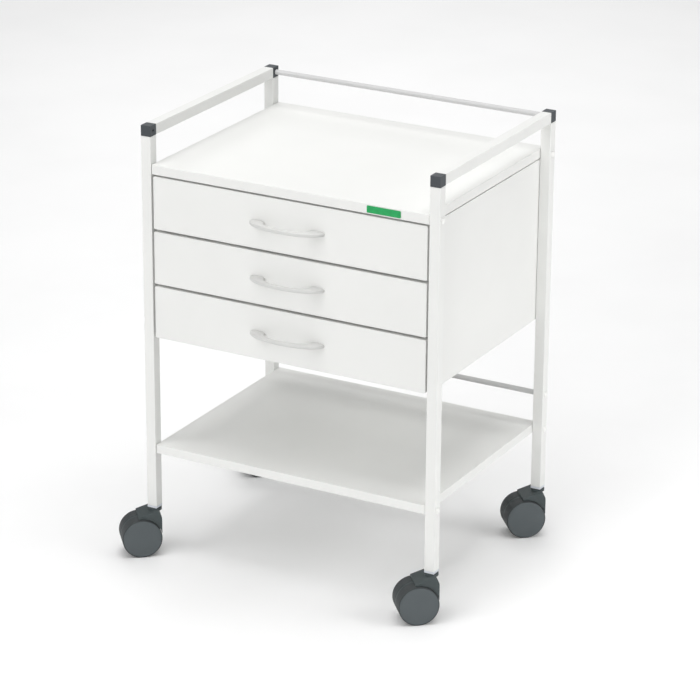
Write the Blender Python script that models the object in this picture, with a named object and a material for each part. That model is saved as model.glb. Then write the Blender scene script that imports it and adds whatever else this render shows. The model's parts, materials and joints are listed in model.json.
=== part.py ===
"""Three-drawer ward cart on twin-wheel castors. Metres, +Z up, -Y is the drawer side.

The origin is on the floor under the centre of the whole cart's box. The castors trail to
the front left, so the box is centred on the wheels and the frame stands a little off it.
"""

import math

import bmesh
import bpy
from mathutils import Matrix, Vector

# Gap between pieces that touch
GAP = 0.0003

# Frame of square tube, measured over the posts
FRAME_WIDTH = 0.603
FRAME_DEPTH = 0.455
FRAME_TOP = 0.8357
TUBE = 0.020
TUBE_WALL = 0.0015
TUBE_CORNER = 0.0008
TUBE_INNER_CORNER = 0.0003
CORNER_STEPS = 3
POST_FOOT = 0.0916
CONNECTOR_HEIGHT = 0.020
SPIGOT = 0.0162
SPIGOT_LENGTH = 0.025
SOCKET_RADIUS = 0.0025
SOCKET_DEPTH = 0.0035
SOCKET_SIDES = 16
ROD_RADIUS = 0.005
ROD_PIN_RADIUS = 0.0021
ROD_PIN_LENGTH = 0.003
ROD_SIDES = 20
LOWER_ROD_Z = 0.2832

# Boards between the posts
TOP_PANEL_Z = 0.7463
TOP_PANEL = 0.018
SHELF_Z = 0.2044
SHELF = 0.017
BOARD_SIDE_GAP = 0.0005
BOARD_RECESS = 0.0008
BOARD_EDGE = 0.0008
LABEL_SIZE = (0.0666, 0.0008, 0.013)
LABEL_CENTRE_X = 0.1924

# Cabinet under the top panel
CABINET_BASE = 0.4325
CABINET_TOP_GAP = 0.0015
CABINET_BOARD = 0.016
CABINET_BACK = 0.008
CABINET_BACK_INSET = 0.001
CABINET_FLOOR = 0.012
CABINET_FLOOR_RISE = 0.0006
CABINET_FRONT_SETBACK = 0.018
CABINET_REAR_SETBACK = 0.001

# Drawers, counted from the top
DRAWERS = ("top", "middle", "bottom")
FRONT_HEIGHT = 0.0994
FRONT_PITCH = 0.1045
FRONT_THICKNESS = 0.016
FRONT_SIDE_GAP = 0.0037
FIRST_FRONT_TOP = 0.7427
TRAY_RISE = 0.015
TRAY_HEIGHT = 0.072
TRAY_DEPTH = 0.390
TRAY_WALL = 0.012
TRAY_FLOOR = 0.006
SLIDE_SPACE = 0.0127
SLIDE_SHEET = 0.0015
RAIL_HEIGHT = 0.036
RAIL_REACH = 0.010
RAIL_LENGTH = 0.396
RAIL_SETBACK = 0.021
RUNNER_HEIGHT = 0.027
RUNNER_REACH = 0.0092
SLIDE_RISE = 0.024
HANDLE_HALF_LENGTH = 0.0763
HANDLE_HALF_OPENING = 0.0458
HANDLE_REACH = 0.0287
HANDLE_THICKNESS = 0.0065
HANDLE_HEIGHT = 0.0093
HANDLE_EDGE = 0.002
HANDLE_STEPS = 14

# Castors, all turned alike: x runs from the stem to the axle, y along the axle
CASTOR_TURN = math.radians(-139.5)
TRAIL = 0.0278
WHEEL_RADIUS = 0.0375
WHEEL_SIDES = 32
WHEEL_INNER_FACE = 0.003
WHEEL_OUTER_FACE = 0.0286
WHEEL_INNER_EDGE = 0.0005
WHEEL_SHOULDER = 0.0015
WHEEL_BORE = 0.0044
WHEEL_BORE_END = 0.026
AXLE_RADIUS = 0.004
AXLE_HALF_LENGTH = 0.0255
AXLE_SIDES = 20
HOOD_HALF_WIDTH = 0.024
HOOD_WHEEL_GAP = 0.002
HOOD_LIP = (0.0336, 0.0790)
HOOD_TOP = ((-0.0028, 0.0906), (-0.0042, 0.0902), (-0.0096, 0.0782), (-0.0100, 0.0731))
HOOD_BACK_END = (-0.0100, 0.0530)
HOOD_ARC_STEPS = 10
WEB_HALF_WIDTH = 0.0025
WEB_RADIUS = 0.0370
WEB_FOOT_Z = 0.017
WEB_INSET = 0.0008
WEB_BACK_ANGLE = 158.5
WEB_ARC_STEPS = 12
BOSS_RADIUS = 0.0128
BOSS_SIDES = 24
BOSS_FOOT = 0.086
BOSS_TOP = 0.0911
STEM_RADIUS = 0.005
STEM_SIDES = 16
STEM_BORE = 0.0054
STEM_END_Z = 0.072
STEM_BORE_END_Z = 0.0708
FLANGE = 0.004
PLUG_LENGTH = 0.030

# Worked-out places
TRAIL_VECTOR = Vector((math.cos(CASTOR_TURN), math.sin(CASTOR_TURN), 0)) * TRAIL
CENTRE = Vector((-TRAIL_VECTOR.x, -TRAIL_VECTOR.y, 0))
INNER_X = FRAME_WIDTH / 2 - TUBE
POST_X = FRAME_WIDTH / 2 - TUBE / 2
POST_Y = FRAME_DEPTH / 2 - TUBE / 2
CONNECTOR_Z = FRAME_TOP - CONNECTOR_HEIGHT
BOARD_X = INNER_X - BOARD_SIDE_GAP
CABINET_X = BOARD_X - CABINET_BOARD
CABINET_FRONT = -FRAME_DEPTH / 2 + CABINET_FRONT_SETBACK
FRONT_FACE = -FRAME_DEPTH / 2 + BOARD_RECESS
FRONT_BACK = FRONT_FACE + FRONT_THICKNESS
TRAY_X = CABINET_X - SLIDE_SPACE
ACROSS = Matrix(((1, 0, 0, 0), (0, 0, -1, 0), (0, 1, 0, 0), (0, 0, 0, 1)))
CORNERS = {
    "front_left": (-1, -1),
    "front_right": (1, -1),
    "rear_left": (-1, 1),
    "rear_right": (1, 1),
}

MATERIALS = {
    "white_tube": ((0.88, 0.88, 0.86, 1), 0.35, 0.0),
    "white_laminate": ((0.90, 0.90, 0.88, 1), 0.45, 0.0),
    "anthracite_plastic": ((0.075, 0.085, 0.09, 1), 0.5, 0.0),
    "wheel_rubber": ((0.095, 0.105, 0.11, 1), 0.6, 0.0),
    "handle_white": ((0.80, 0.80, 0.78, 1), 0.3, 0.0),
    "slide_steel": ((0.62, 0.63, 0.64, 1), 0.35, 1.0),
    "pale_plug": ((0.72, 0.74, 0.78, 1), 0.5, 0.0),
    "green_label": ((0.0, 0.35, 0.09, 1), 0.35, 0.0),
}


def clear_scene():
    for obj in list(bpy.data.objects):
        bpy.data.objects.remove(obj, do_unlink=True)


def material(name):
    found = bpy.data.materials.get(name)
    if found:
        return found
    colour, roughness, metallic = MATERIALS[name]
    made = bpy.data.materials.new(name)
    made.use_nodes = True
    shader = made.node_tree.nodes["Principled BSDF"]
    shader.inputs["Base Color"].default_value = colour
    shader.inputs["Roughness"].default_value = roughness
    shader.inputs["Metallic"].default_value = metallic
    return made


def new_object(name, mesh_data, material_name, parent):
    bmesh.ops.recalc_face_normals(mesh_data, faces=mesh_data.faces)
    mesh = bpy.data.meshes.new(name)
    mesh_data.to_mesh(mesh)
    mesh_data.free()
    mesh.shade_smooth()
    mesh.set_sharp_from_angle(angle=math.radians(30))
    obj = bpy.data.objects.new(name, mesh)
    bpy.context.scene.collection.objects.link(obj)
    if material_name:
        mesh.materials.append(material(material_name))
    obj.parent = parent
    return obj


def new_empty(name, location, parent=None, turn=0.0):
    empty = bpy.data.objects.new(name, None)
    bpy.context.scene.collection.objects.link(empty)
    empty.location = location
    empty.rotation_euler = (0, 0, turn)
    empty.parent = parent
    return empty


def box(name, low, high, material_name, parent):
    """A box between two corners."""
    data = bmesh.new()
    bmesh.ops.create_cube(data, size=1)
    low, high = Vector(low), Vector(high)
    for vert in data.verts:
        vert.co = [low[i] + (vert.co[i] + 0.5) * (high[i] - low[i]) for i in range(3)]
    return new_object(name, data, material_name, parent)


def board(name, low, high, parent):
    """A laminated board with its edges eased."""
    obj = box(name, low, high, "white_laminate", parent)
    bevel(obj, BOARD_EDGE, 1)
    return obj


def bevel(obj, width, segments):
    modifier = obj.modifiers.new("bevel", "BEVEL")
    modifier.width = width
    modifier.segments = segments
    modifier.limit_method = "ANGLE"
    modifier.angle_limit = math.radians(50)


def prism(name, outline, start, end, place, material_name, parent):
    """The outline's points (a, b) as (a, b, c), extruded from c = start to end, then placed."""
    data = bmesh.new()
    verts = [data.verts.new((a, b, start)) for a, b in outline]
    face = data.faces.new(verts)
    raised = bmesh.ops.extrude_face_region(data, geom=[face])
    moved = [item for item in raised["geom"] if isinstance(item, bmesh.types.BMVert)]
    bmesh.ops.translate(data, verts=moved, vec=(0, 0, end - start))
    data.transform(place)
    return new_object(name, data, material_name, parent)


def turned(name, profile, sides, place, material_name, parent):
    """The profile's points (radius, along) turned about the axis; it starts and ends on it."""
    data = bmesh.new()
    rings = []
    for radius, along in profile:
        if radius == 0:
            rings.append([data.verts.new((0, 0, along))])
            continue
        angles = [2 * math.pi * (i + 0.5) / sides for i in range(sides)]
        points = [(radius * math.cos(a), radius * math.sin(a), along) for a in angles]
        rings.append([data.verts.new(point) for point in points])
    for lower, upper in zip(rings, rings[1:]):
        for i in range(sides):
            j = (i + 1) % sides
            corners = (lower[i % len(lower)], lower[j % len(lower)])
            corners += (upper[j % len(upper)], upper[i % len(upper)])
            data.faces.new(dict.fromkeys(corners))
    data.transform(place)
    return new_object(name, data, material_name, parent)


def arc(centre, radius, start, end, steps):
    """Points on an arc, with its ends, angles in degrees."""
    angles = [math.radians(start + (end - start) * i / steps) for i in range(steps + 1)]
    return [(centre[0] + radius * math.cos(a), centre[1] + radius * math.sin(a)) for a in angles]


def rounded_square(side, radius):
    inner = side / 2 - radius
    points = []
    for quarter, (a, b) in enumerate(((1, 1), (-1, 1), (-1, -1), (1, -1))):
        start = 90 * quarter
        points += arc((a * inner, b * inner), radius, start, start + 90, CORNER_STEPS)
    return points


def square_tube(name, length, place, parent):
    """A square tube along c from 0 to its length."""
    data = bmesh.new()
    loops = []
    outside = rounded_square(TUBE, TUBE_CORNER)
    inside = rounded_square(TUBE - 2 * TUBE_WALL, TUBE_INNER_CORNER)
    for outline, along in ((outside, 0), (outside, length), (inside, length), (inside, 0)):
        loops.append([data.verts.new((a, b, along)) for a, b in outline])
    count = len(outside)
    for here, after in zip(loops, loops[1:] + loops[:1]):
        for i in range(count):
            j = (i + 1) % count
            data.faces.new((here[i], here[j], after[j], after[i]))
    data.transform(place)
    return new_object(name, data, "white_tube", parent)


def combine(obj, other, operation):
    """Joins or cuts obj with a helper, which stays out of the model."""
    modifier = obj.modifiers.new(operation.lower(), "BOOLEAN")
    modifier.operation = operation
    modifier.object = other
    other.hide_render = True
    other.display_type = "WIRE"


def along_x(location):
    """Turns c onto +X: the outline's a runs along +Y and b along +Z."""
    turn = Matrix(((0, 0, 1, 0), (1, 0, 0, 0), (0, 1, 0, 0), (0, 0, 0, 1)))
    return Matrix.Translation(location) @ turn


def along_y(location):
    """Turns c onto +Y: the outline's a runs along +Z and b along +X."""
    turn = Matrix(((0, 1, 0, 0), (0, 0, 1, 0), (1, 0, 0, 0), (0, 0, 0, 1)))
    return Matrix.Translation(location) @ turn


def make_posts(frame):
    start = POST_FOOT + FLANGE + GAP
    length = CONNECTOR_Z - GAP - start
    for corner, (side, end) in CORNERS.items():
        place = Matrix.Translation((side * POST_X, end * POST_Y, start))
        square_tube(f"post_{corner}", length, place, frame)


def make_connectors(frame):
    """Cubes with a spigot down into the post, one into the side rail and a pin hole for the rod."""
    half = TUBE / 2
    reach = SPIGOT / 2
    middle = CONNECTOR_HEIGHT / 2
    for corner, (side, end) in CORNERS.items():
        at = Vector((side * POST_X, end * POST_Y, CONNECTOR_Z))
        name = f"corner_connector_{corner}"
        low = at + Vector((-half, -half, 0))
        high = at + Vector((half, half, CONNECTOR_HEIGHT))
        cube = box(name, low, high, "anthracite_plastic", frame)
        low = at + Vector((-reach, -reach, -SPIGOT_LENGTH))
        high = at + Vector((reach, reach, middle))
        combine(cube, box(f"{name}_down", low, high, None, frame), "UNION")
        tip = -end * (half + SPIGOT_LENGTH)
        low = at + Vector((-reach, min(0, tip), middle - reach))
        high = at + Vector((reach, max(0, tip), middle + reach))
        combine(cube, box(f"{name}_back", low, high, None, frame), "UNION")
        mouth = at + Vector((-side * half, 0, middle))
        profile = [
            (0, -SOCKET_DEPTH),
            (SOCKET_RADIUS, -SOCKET_DEPTH),
            (SOCKET_RADIUS, SOCKET_DEPTH),
            (0, SOCKET_DEPTH),
        ]
        cutter = turned(f"{name}_hole", profile, SOCKET_SIDES, along_x(mouth), None, frame)
        combine(cube, cutter, "DIFFERENCE")


def make_side_rails(frame):
    length = FRAME_DEPTH - 2 * TUBE - 2 * GAP
    for name, side in (("side_rail_left", -1), ("side_rail_right", 1)):
        middle = CONNECTOR_Z + CONNECTOR_HEIGHT / 2
        at = (side * POST_X, -length / 2, middle)
        square_tube(name, length, along_y(at), frame)


def make_rods(frame):
    """The upper rod has a pin at each end for the connectors; the lower one ends flat on the posts."""
    end = INNER_X - GAP
    upper = [
        (0, -end - ROD_PIN_LENGTH),
        (ROD_PIN_RADIUS, -end - ROD_PIN_LENGTH),
        (ROD_PIN_RADIUS, -end),
        (ROD_RADIUS, -end),
        (ROD_RADIUS, end),
        (ROD_PIN_RADIUS, end),
        (ROD_PIN_RADIUS, end + ROD_PIN_LENGTH),
        (0, end + ROD_PIN_LENGTH),
    ]
    lower = [(0, -end), (ROD_RADIUS, -end), (ROD_RADIUS, end), (0, end)]
    upper_z = CONNECTOR_Z + CONNECTOR_HEIGHT / 2
    for name, profile, z in (("upper", upper, upper_z), ("lower", lower, LOWER_ROD_Z)):
        place = along_x((0, POST_Y, z))
        turned(f"rear_rod_{name}", profile, ROD_SIDES, place, "white_tube", frame)


def make_boards(frame):
    for name, z, thickness in (("top_panel", TOP_PANEL_Z, TOP_PANEL), ("lower_shelf", SHELF_Z, SHELF)):
        board(name, (-BOARD_X, FRONT_FACE, z), (BOARD_X, -FRONT_FACE, z + thickness), frame)
    width, thickness, height = LABEL_SIZE
    face = FRONT_FACE - GAP
    middle = TOP_PANEL_Z + TOP_PANEL / 2
    low = (LABEL_CENTRE_X - width / 2, face - thickness, middle - height / 2)
    high = (LABEL_CENTRE_X + width / 2, face, middle + height / 2)
    box("label_plate", low, high, "green_label", frame)


def make_cabinet(frame):
    top = TOP_PANEL_Z - CABINET_TOP_GAP
    back = FRAME_DEPTH / 2 - CABINET_REAR_SETBACK
    inner = CABINET_X - GAP
    for name, side in (("cabinet_side_left", -1), ("cabinet_side_right", 1)):
        near, far = sorted((side * CABINET_X, side * BOARD_X))
        board(name, (near, CABINET_FRONT, CABINET_BASE), (far, back, top), frame)
    inset = CABINET_BACK_INSET
    low = (-inner, back - inset - CABINET_BACK, CABINET_BASE + inset)
    board("cabinet_back", low, (inner, back - inset, top - inset), frame)
    floor_z = CABINET_BASE + CABINET_FLOOR_RISE
    high = (inner, low[1] - GAP, floor_z + CABINET_FLOOR)
    board("cabinet_bottom", (-inner, CABINET_FRONT, floor_z), high, frame)


def channel(height, reach):
    """Outline of a C channel, open towards +a, with its web's outer face at a = 0."""
    half = height / 2
    sheet = SLIDE_SHEET
    return [
        (0, -half),
        (reach, -half),
        (reach, -half + sheet),
        (sheet, -half + sheet),
        (sheet, half - sheet),
        (reach, half - sheet),
        (reach, half),
        (0, half),
    ]


def slide_part(name, height, reach, web_x, open_side, z, span, parent):
    """A channel along Y whose web's outer face is at web_x and which opens towards open_side."""
    outline = [(b + z, web_x + open_side * a) for a, b in channel(height, reach)]
    prism(name, outline, span[0], span[1], along_y((0, 0, 0)), "slide_steel", parent)


def make_tray(name, bottom, parent):
    """An open box: its top face is inset by the wall and pushed down to the floor."""
    data = bmesh.new()
    bmesh.ops.create_cube(data, size=1)
    low = Vector((-TRAY_X, FRONT_BACK + GAP, bottom))
    high = Vector((TRAY_X, FRONT_BACK + GAP + TRAY_DEPTH, bottom + TRAY_HEIGHT))
    for vert in data.verts:
        vert.co = [low[i] + (vert.co[i] + 0.5) * (high[i] - low[i]) for i in range(3)]
    top = max(data.faces, key=lambda face: face.calc_center_median().z)
    bmesh.ops.inset_region(data, faces=[top], thickness=TRAY_WALL)
    sunk = bmesh.ops.extrude_face_region(data, geom=[top])
    bmesh.ops.delete(data, geom=[top], context="FACES_ONLY")
    moved = [item for item in sunk["geom"] if isinstance(item, bmesh.types.BMVert)]
    bmesh.ops.translate(data, verts=moved, vec=(0, 0, TRAY_FLOOR - TRAY_HEIGHT))
    return new_object(name, data, "white_laminate", parent)


def make_handle(name, z, parent):
    """A bow in plan: an outer half ellipse from tip to tip and an inner one between the feet."""
    outline = []
    inner_reach = HANDLE_REACH - HANDLE_THICKNESS
    for i in range(HANDLE_STEPS + 1):
        angle = math.pi * i / HANDLE_STEPS
        along = HANDLE_HALF_LENGTH * math.cos(angle)
        outline.append((along, -HANDLE_REACH * math.sin(angle)))
    for i in range(HANDLE_STEPS + 1):
        angle = math.pi * (1 - i / HANDLE_STEPS)
        along = HANDLE_HALF_OPENING * math.cos(angle)
        outline.append((along, -inner_reach * math.sin(angle)))
    place = Matrix.Translation((0, FRONT_FACE - GAP, z))
    half = HANDLE_HEIGHT / 2
    handle = prism(name, outline, -half, half, place, "handle_white", parent)
    bevel(handle, HANDLE_EDGE, 1)


def make_drawers(frame):
    front_x = INNER_X - FRONT_SIDE_GAP
    rail_start = -FRAME_DEPTH / 2 + RAIL_SETBACK
    runner_start = FRONT_BACK + GAP
    for index, drawer in enumerate(DRAWERS):
        top = FIRST_FRONT_TOP - index * FRONT_PITCH
        bottom = top - FRONT_HEIGHT
        tray_bottom = bottom + TRAY_RISE
        slider = new_empty(f"drawer_{drawer}", (0, 0, 0), frame)
        low = (-front_x, FRONT_FACE, bottom)
        board(f"drawer_front_{drawer}", low, (front_x, FRONT_BACK, top), slider)
        make_tray(f"drawer_tray_{drawer}", tray_bottom, slider)
        make_handle(f"handle_{drawer}", (top + bottom) / 2, slider)
        slide_z = tray_bottom + SLIDE_RISE
        for name, side in (("left", -1), ("right", 1)):
            web = side * (CABINET_X - GAP)
            span = (rail_start, rail_start + RAIL_LENGTH)
            rail = f"cabinet_rail_{name}_{drawer}"
            slide_part(rail, RAIL_HEIGHT, RAIL_REACH, web, -side, slide_z, span, frame)
            web = side * (TRAY_X + GAP)
            span = (runner_start, runner_start + TRAY_DEPTH)
            runner = f"drawer_runner_{name}_{drawer}"
            slide_part(runner, RUNNER_HEIGHT, RUNNER_REACH, web, side, slide_z, span, slider)


def hood_outline():
    """Side view of the hood over the wheels, in (x, z)."""
    axle = (TRAIL, WHEEL_RADIUS)
    reach = WHEEL_RADIUS + HOOD_WHEEL_GAP
    front = math.degrees(math.acos((HOOD_LIP[0] - TRAIL) / reach))
    back = 180 - math.degrees(math.asin((HOOD_BACK_END[1] - WHEEL_RADIUS) / reach))
    return [HOOD_LIP, *HOOD_TOP, HOOD_BACK_END, *arc(axle, reach, back, front, HOOD_ARC_STEPS)]


def web_outline():
    """Side view of the web between the wheels, a little inside the hood's outline."""
    axle = (TRAIL, WHEEL_RADIUS)
    dip = math.degrees(math.asin((WHEEL_RADIUS - WEB_FOOT_Z) / WEB_RADIUS))
    lip_x = HOOD_LIP[0] - WEB_INSET
    lip = math.degrees(math.acos((lip_x - TRAIL) / WEB_RADIUS))
    back_end = HOOD_BACK_END[1] + WEB_INSET
    outline = arc(axle, WEB_RADIUS, -dip, lip, WEB_ARC_STEPS)
    outline += [(lip_x, HOOD_LIP[1] - WEB_INSET)]
    outline += [(x + WEB_INSET, z - WEB_INSET) for x, z in HOOD_TOP]
    outline += [(HOOD_BACK_END[0] + WEB_INSET, back_end)]
    outline += arc(axle, WEB_RADIUS, WEB_BACK_ANGLE, 180 + dip, WEB_ARC_STEPS // 2)
    return outline


def make_hood(name, swivel):
    half = HOOD_HALF_WIDTH
    hood = prism(name, hood_outline(), -half, half, ACROSS, "anthracite_plastic", swivel)
    half = WEB_HALF_WIDTH
    web = prism(f"{name}_web", web_outline(), -half, half, ACROSS, None, swivel)
    combine(hood, web, "UNION")
    low, high = BOSS_FOOT, BOSS_TOP
    profile = [(0, low), (BOSS_RADIUS, low), (BOSS_RADIUS, high), (0, high)]
    boss = turned(f"{name}_boss", profile, BOSS_SIDES, Matrix(), None, swivel)
    combine(hood, boss, "UNION")
    low, high = STEM_BORE_END_Z, POST_FOOT
    profile = [(0, low), (STEM_BORE, low), (STEM_BORE, high), (0, high)]
    bore = turned(f"{name}_bore", profile, STEM_SIDES, Matrix(), None, swivel)
    combine(hood, bore, "DIFFERENCE")
    reach = 2 * WEB_HALF_WIDTH
    profile = [(0, -reach), (WHEEL_BORE, -reach), (WHEEL_BORE, reach), (0, reach)]
    place = Matrix.Translation((TRAIL, 0, WHEEL_RADIUS)) @ ACROSS
    hole = turned(f"{name}_hole", profile, AXLE_SIDES, place, None, swivel)
    combine(hood, hole, "DIFFERENCE")


def make_axle(name, swivel):
    end = AXLE_HALF_LENGTH
    profile = [(0, -end), (AXLE_RADIUS, -end), (AXLE_RADIUS, end), (0, end)]
    place = Matrix.Translation((TRAIL, 0, WHEEL_RADIUS)) @ ACROSS
    turned(name, profile, AXLE_SIDES, place, "slide_steel", swivel)


def make_wheel(name, side, swivel):
    """A drum with a closed outer face and a blind bore; one of its flats stands on the floor."""
    hub = new_empty(f"{name}_hub", (TRAIL, 0, WHEEL_RADIUS), swivel)
    radius = WHEEL_RADIUS / math.cos(math.pi / WHEEL_SIDES)
    inner, outer = WHEEL_INNER_FACE, WHEEL_OUTER_FACE
    profile = [
        (0, WHEEL_BORE_END),
        (WHEEL_BORE, WHEEL_BORE_END),
        (WHEEL_BORE, inner),
        (radius - WHEEL_INNER_EDGE, inner),
        (radius, inner + WHEEL_INNER_EDGE),
        (radius, outer - WHEEL_SHOULDER),
        (radius - WHEEL_SHOULDER, outer),
        (0, outer),
    ]
    across = Matrix(((1, 0, 0, 0), (0, 0, side, 0), (0, -side, 0, 0), (0, 0, 0, 1)))
    turned(name, profile, WHEEL_SIDES, across, "wheel_rubber", hub)


def make_stem(name, castor):
    """A square plug in the post with a flange under its end, and the pin that the castor turns on."""
    top = POST_FOOT + FLANGE
    half = TUBE / 2
    low, high = (-half, -half, POST_FOOT), (half, half, top)
    flange = box(name, low, high, "pale_plug", castor)
    half = SPIGOT / 2
    middle = POST_FOOT + FLANGE / 2
    low, high = (-half, -half, middle), (half, half, top + PLUG_LENGTH)
    combine(flange, box(f"{name}_plug", low, high, None, castor), "UNION")
    profile = [(0, STEM_END_Z), (STEM_RADIUS, STEM_END_Z), (STEM_RADIUS, middle), (0, middle)]
    pin = turned(f"{name}_pin", profile, STEM_SIDES, Matrix(), None, castor)
    combine(flange, pin, "UNION")


def make_castors(frame):
    for corner, (side, end) in CORNERS.items():
        castor = new_empty(f"castor_{corner}", (side * POST_X, end * POST_Y, 0), frame)
        make_stem(f"stem_plug_{corner}", castor)
        swivel = new_empty(f"swivel_{corner}", (0, 0, 0), castor, CASTOR_TURN)
        make_hood(f"castor_hood_{corner}", swivel)
        make_axle(f"castor_axle_{corner}", swivel)
        make_wheel(f"wheel_outer_{corner}", 1, swivel)
        make_wheel(f"wheel_inner_{corner}", -1, swivel)


def main():
    clear_scene()
    frame = new_empty("cart", CENTRE)
    make_posts(frame)
    make_connectors(frame)
    make_side_rails(frame)
    make_rods(frame)
    make_boards(frame)
    make_cabinet(frame)
    make_drawers(frame)
    make_castors(frame)


main()
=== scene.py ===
"""Looks of the three-drawer ward cart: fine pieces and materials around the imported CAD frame.

Metres, +Z up, the drawers open towards -Y. Places come from the CAD nodes' boxes and from the
record's joints; the sizes below are those that boxes and joints don't give.
"""

import json
import math

import bmesh
import bpy
from mathutils import Matrix, Vector


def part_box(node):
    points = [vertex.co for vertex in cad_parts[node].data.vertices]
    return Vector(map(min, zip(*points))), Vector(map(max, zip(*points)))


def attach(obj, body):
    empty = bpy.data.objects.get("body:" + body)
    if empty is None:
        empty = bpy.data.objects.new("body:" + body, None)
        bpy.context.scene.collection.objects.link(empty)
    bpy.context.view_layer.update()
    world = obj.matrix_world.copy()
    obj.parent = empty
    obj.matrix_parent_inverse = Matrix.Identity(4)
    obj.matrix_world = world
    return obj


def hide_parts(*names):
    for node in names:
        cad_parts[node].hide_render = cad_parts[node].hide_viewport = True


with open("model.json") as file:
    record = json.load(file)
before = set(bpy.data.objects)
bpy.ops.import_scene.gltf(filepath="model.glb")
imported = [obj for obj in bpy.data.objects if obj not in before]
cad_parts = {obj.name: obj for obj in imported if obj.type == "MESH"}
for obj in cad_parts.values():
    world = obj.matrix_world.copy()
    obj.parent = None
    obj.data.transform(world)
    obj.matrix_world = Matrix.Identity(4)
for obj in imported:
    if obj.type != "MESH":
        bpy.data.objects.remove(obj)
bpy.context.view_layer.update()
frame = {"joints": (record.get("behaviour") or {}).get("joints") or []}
JOINTS = {joint["name"]: joint for joint in frame["joints"]}

ROOT = "cart_frame"
CORNERS = {
    "front_left": (-1, -1),
    "front_right": (1, -1),
    "rear_left": (-1, 1),
    "rear_right": (1, 1),
}
DRAWERS = ("top", "middle", "bottom")
SIDES = {"left": -1, "right": 1}

# Camera: it turns round a point near the top panel's middle line
VIEW_AZIMUTH = math.radians(28.83)
VIEW_ELEVATION = math.radians(21.11)
VIEW_ROLL = math.radians(0.383)
VIEW_DISTANCE = 5.868
VIEW_TARGET_X = 0.0027
VIEW_TARGET_Z = 0.3876
VIEW_LENS = 163.13
VIEW_SENSOR = 36
VIEW_CLIP_END = 100

# Studio: each light's place, what it faces, its side length and its watts
WORLD_STRENGTH = 0.12
FLOOR_SIZE = 20
LIGHTS = {
    "key_light": ((-1.2, -2.6, 3.4), (0, 0, 0.5), 3.0, 63),
    "top_light": ((0.2, 0.0, 4.2), (0, 0, 0.4), 3.0, 97),
    "front_light": ((0.6, -4.0, 1.3), (0, 0, 0.45), 3.0, 60),
    "side_light": ((1.5, 0.15, 0.75), (0.3, 0.05, 0.45), 1.0, 9.1),
    "backdrop_light": ((-1.7, 3.4, 3.0), (-1.9, 3.8, 0), 4.0, 88),
}

# Shading: the angle over which an edge stays sharp, and the middle range of a noise's values
SMOOTH_ANGLE = 35
SMOOTH_FINE = 30
SMOOTH_BENDS = 40
SMOOTH_ROUND = 50
NOISE_RANGE = (0.3, 0.7)

# Square tube
TUBE_WALL = 0.0015
TUBE_CORNER = 0.0009
TUBE_INNER_CORNER = 0.0003
CORNER_STEPS = 6
TUBE_EDGE = 0.0003

# Boards
BAND = 0.0020
BAND_SEAM = 0.00005
BAND_CORNER = 0.0025
BAND_CORNER_LEAST = 0.0003
BOARD_RADIUS = 0.0009
BOARD_EDGE = 0.00015
ROUND_STEPS = 4
LABEL_CORNER = 0.002
LABEL_EDGE = 0.0002

# Connectors, rods and plugs
CONNECTOR_GAP = 0.0003
CONNECTOR_EDGE = 0.0005
SPIGOT_HALF = 0.0081
SPIGOT_EDGE = 0.0008
SPIGOT_STEPS = 2
PIN_HOLE_RADIUS = 0.0025
PIN_HOLE_DEPTH = 0.0035
PIN_HOLE_SIDES = 24
ROD_PIN_LENGTH = 0.003
ROD_PIN_RADIUS = 0.0021
ROD_CHAMFER = 0.0005
ROD_SIDES = 40
PLUG_DROP = 0.0043
PLUG_FLANGE = 0.004
PLUG_EDGE = 0.0006

# Handles
HANDLE_OPENING = 0.0458
HANDLE_THICKNESS = 0.0063
HANDLE_HEIGHT = 0.0081
HANDLE_FOOT_HEIGHT = 0.0097
HANDLE_SECTIONS = 48
HANDLE_AROUND = 28
HANDLE_SQUARENESS = 2.7
HANDLE_SCREW_X = 0.061
HANDLE_FOOT_POWER = 3

# Drawer boxes
TRAY_WALL = 0.012
TRAY_SEAM = 0.0001
TRAY_EDGE = 0.0008
TRAY_STEPS = 3
TRAY_FLOOR_BOTTOM = 0.001
TRAY_FLOOR_TOP = 0.006
TRAY_FLOOR_EDGE = 0.0002

# Slides
SLIDE_SHEET = 0.0015
SLIDE_BEND = 0.0018
BALL_COUNT = 7
BALL_RADIUS = 0.0014
BALL_START = 0.010
BALL_PITCH = 0.014

# Screws: the pan head in shares of its radius and height, the rail screw's head in metres
CAP_RADIUS = 0.0060
CAP_HEIGHT = 0.0037
CAP_RIM = 0.0005
CAP_FOOT = 0.96
CAP_STEPS = 8
CAP_SIDES = 36
SCREW_RADIUS = 0.0038
SCREW_HEIGHT = 0.0022
SCREW_SIDES = 24
PAN_HEAD = ((0, 0), (1, 0), (1, 0.5), (0.8, 0.9), (0.45, 1), (0.4, 0.4), (0, 0.4))
RAIL_SCREW_HEAD = (
    (0, 0),
    (0.0036, 0),
    (0.0030, 0.0009),
    (0.0012, 0.0011),
    (0.0010, 0.0004),
    (0, 0.0004),
)
RAIL_SCREW_SHARES = (0.08, 0.5, 0.92)
RAIL_SCREW_SIDES = 20

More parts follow.
